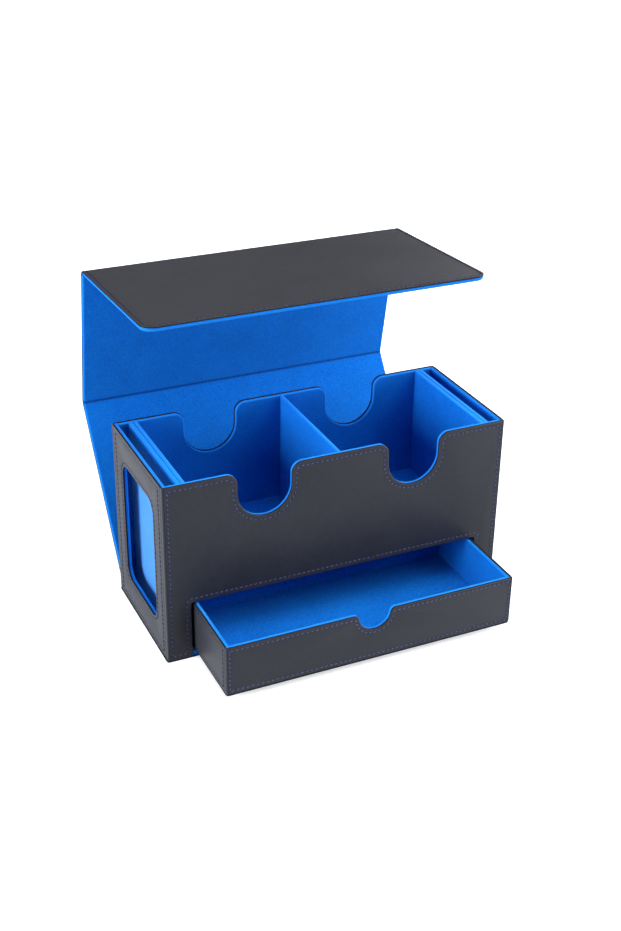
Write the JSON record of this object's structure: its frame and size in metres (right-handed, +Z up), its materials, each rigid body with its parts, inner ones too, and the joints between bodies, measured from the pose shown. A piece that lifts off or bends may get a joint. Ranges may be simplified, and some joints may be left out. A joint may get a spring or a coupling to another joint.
{
  "type": "card storage box",
  "caption": "Leather-covered box with lined card compartments, end windows over display slots, a bottom drawer and a three-panel wrap lid.",
  "frame": {"origin": "centre of the case's underside, on the surface it stands on", "axes": "+X along the box to the right-hand end seen from the front, +Y to the rear where the lid is hinged, +Z up"},
  "size_m": [0.244, 0.233, 0.2222],
  "materials": {
    "leather_cloth": "black imitation leather, fine grain, satin",
    "suede_lining": "bright blue suede-like microfibre",
    "grey_board": "plain grey board",
    "magnet": "nickel-plated disc magnet"
  },
  "bodies": {
    "case": {"base_cover": "leather_cloth", "base_board": "grey_board", "base_lining": "suede_lining", "front_cover": "leather_cloth", "back_cover": "leather_cloth", "left_cover": "leather_cloth", "right_cover": "leather_cloth", "front_board": "grey_board", "back_board": "grey_board", "left_board": "grey_board", "right_board": "grey_board", "front_lining": "suede_lining", "back_lining": "suede_lining", "left_lining": "suede_lining", "right_lining": "suede_lining", "left_slot_ply": "suede_lining", "right_slot_ply": "suede_lining", "left_bay_ply": "suede_lining", "right_bay_ply": "suede_lining", "centre_divider": "suede_lining", "compartment_floor": "grey_board", "left_floor_lining": "suede_lining", "right_floor_lining": "suede_lining", "case_magnets": "magnet"},
    "lid_back": {"back_panel_cover": "leather_cloth", "back_panel_board": "grey_board", "back_panel_lining": "suede_lining", "bottom_fold_cover": "leather_cloth", "bottom_fold_lining": "suede_lining"},
    "lid_top": {"top_panel_cover": "leather_cloth", "top_panel_board": "grey_board", "top_panel_lining": "suede_lining", "rear_fold_cover": "leather_cloth", "rear_fold_lining": "suede_lining"},
    "lid_front": {"front_panel_cover": "leather_cloth", "front_panel_board": "grey_board", "front_panel_lining": "suede_lining", "lid_magnets": "magnet", "front_fold_cover": "leather_cloth", "front_fold_lining": "suede_lining"},
    "drawer": {"drawer_front_cover": "leather_cloth", "drawer_front_board": "grey_board", "drawer_front_lining": "suede_lining", "drawer_back_cover": "leather_cloth", "drawer_back_board": "grey_board", "drawer_back_lining": "suede_lining", "drawer_left_cover": "leather_cloth", "drawer_left_board": "grey_board", "drawer_left_lining": "suede_lining", "drawer_right_cover": "leather_cloth", "drawer_right_board": "grey_board", "drawer_right_lining": "suede_lining", "drawer_bottom_cover": "leather_cloth", "drawer_bottom_board": "grey_board", "drawer_bottom_lining": "suede_lining"}
  },
  "joints": [
    {"name": "lid_swing", "type": "hinge", "parent": "case", "child": "lid_back", "pos_m": [0, 0.0517, 0.0017], "axis": [1, 0, 0], "range_deg": [-21, 35], "deforming": ["bottom_fold_cover", "bottom_fold_lining"]},
    {"name": "lid_top_fold", "type": "hinge", "parent": "lid_back", "child": "lid_top", "pos_m": [0, 0.12741, 0.10983], "axis": [1, 0, 0], "range_deg": [-26.71, 44.51], "deforming": ["rear_fold_cover", "rear_fold_lining"]},
    {"name": "lid_front_fold", "type": "hinge", "parent": "lid_top", "child": "lid_front", "pos_m": [0, 0.10815, 0.21376], "axis": [1, 0, 0], "range_deg": [-76.5, 13.5], "deforming": ["front_fold_cover", "front_fold_lining"]},
    {"name": "drawer_slide", "type": "slide", "parent": "case", "child": "drawer", "axis": [0, 1, 0], "range_m": [-0.03274, 0.0545]}
  ],
  "couplings": [
    {"joint": "lid_top_fold", "follows": "lid_swing", "ratio": 1.2714},
    {"joint": "drawer_slide", "follows": "lid_swing", "m_per_rad": 0.089054}
  ]
}
